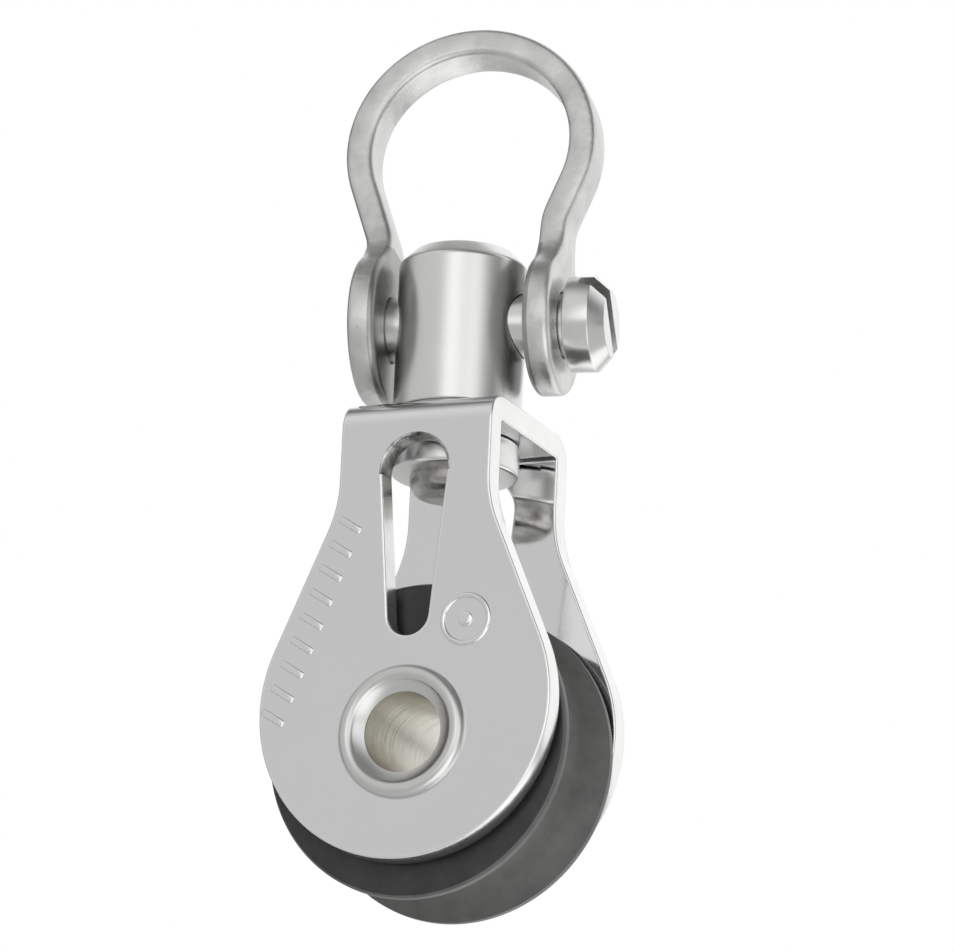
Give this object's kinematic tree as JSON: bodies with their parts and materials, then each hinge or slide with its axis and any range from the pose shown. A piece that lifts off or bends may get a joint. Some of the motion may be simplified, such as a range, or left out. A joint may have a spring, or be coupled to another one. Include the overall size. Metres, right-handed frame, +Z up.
{
  "type": "single swivel sheave block",
  "caption": "Small swivel sheave block: ball-bearing sheave between folded steel cheeks, swivel post on top, bow shackle with a slotted pin.",
  "frame": {"origin": "middle of the sheave's axle, half way between the cheeks", "axes": "+Y along the axle away from the front cheek, +Z up through the swivel to the shackle, +X to the right seen from the front"},
  "size_m": [0.015, 0.01, 0.0436],
  "materials": {
    "polished_steel": "mirror polished stainless steel",
    "rolled_steel": "polished stainless steel with a turned bore",
    "turned_steel": "satin turned stainless steel",
    "tumbled_steel": "tumbled forged stainless steel",
    "bearing_steel": "ground and polished stainless steel",
    "shield_nylon": "natural nylon",
    "black_acetal": "machined black acetal, soft sheen"
  },
  "bodies": {
    "shackle": {"shackle_bow": "tumbled_steel"},
    "pin": {"shackle_pin": "turned_steel"},
    "swivel_head": {"swivel_post": "turned_steel", "swivel_washer": "turned_steel", "swivel_collar": "turned_steel"},
    "cheeks": {"cheek_strap": "polished_steel", "axle_rivet": "rolled_steel", "inner_race": "bearing_steel"},
    "sheave_wheel": {"sheave": "black_acetal", "outer_race": "bearing_steel", "bearing_shield_front": "shield_nylon", "bearing_shield_rear": "shield_nylon"},
    "ball_set": {"ball_01": "bearing_steel", "ball_02": "bearing_steel", "ball_03": "bearing_steel", "ball_04": "bearing_steel", "ball_05": "bearing_steel", "ball_06": "bearing_steel", "ball_07": "bearing_steel", "ball_08": "bearing_steel", "ball_09": "bearing_steel", "ball_10": "bearing_steel", "ball_11": "bearing_steel", "ball_12": "bearing_steel", "ball_13": "bearing_steel", "ball_14": "bearing_steel", "ball_15": "bearing_steel"}
  },
  "joints": [
    {"name": "pin_withdraw", "type": "slide", "parent": "shackle", "child": "pin", "axis": [0.9881, 0.154, 0], "range_m": [0, 0.0095]},
    {"name": "shackle_swing", "type": "hinge", "parent": "shackle", "child": "swivel_head", "pos_m": [0, 0, 0.02079], "axis": [0.9881, 0.154, 0], "range_deg": [-132, 117]},
    {"name": "head_swivel", "type": "hinge", "parent": "swivel_head", "child": "cheeks", "pos_m": [0, 0, 0.015], "axis": [0, 0, 1], "continuous": true},
    {"name": "sheave_spin", "type": "hinge", "parent": "cheeks", "child": "sheave_wheel", "pos_m": [0, 0, 0], "axis": [0, 1, 0], "continuous": true},
    {"name": "ball_orbit", "type": "hinge", "parent": "cheeks", "child": "ball_set", "pos_m": [0, 0, 0], "axis": [0, 1, 0], "continuous": true}
  ],
  "couplings": [
    {"joint": "ball_orbit", "follows": "sheave_spin", "ratio": 0.6008}
  ]
}
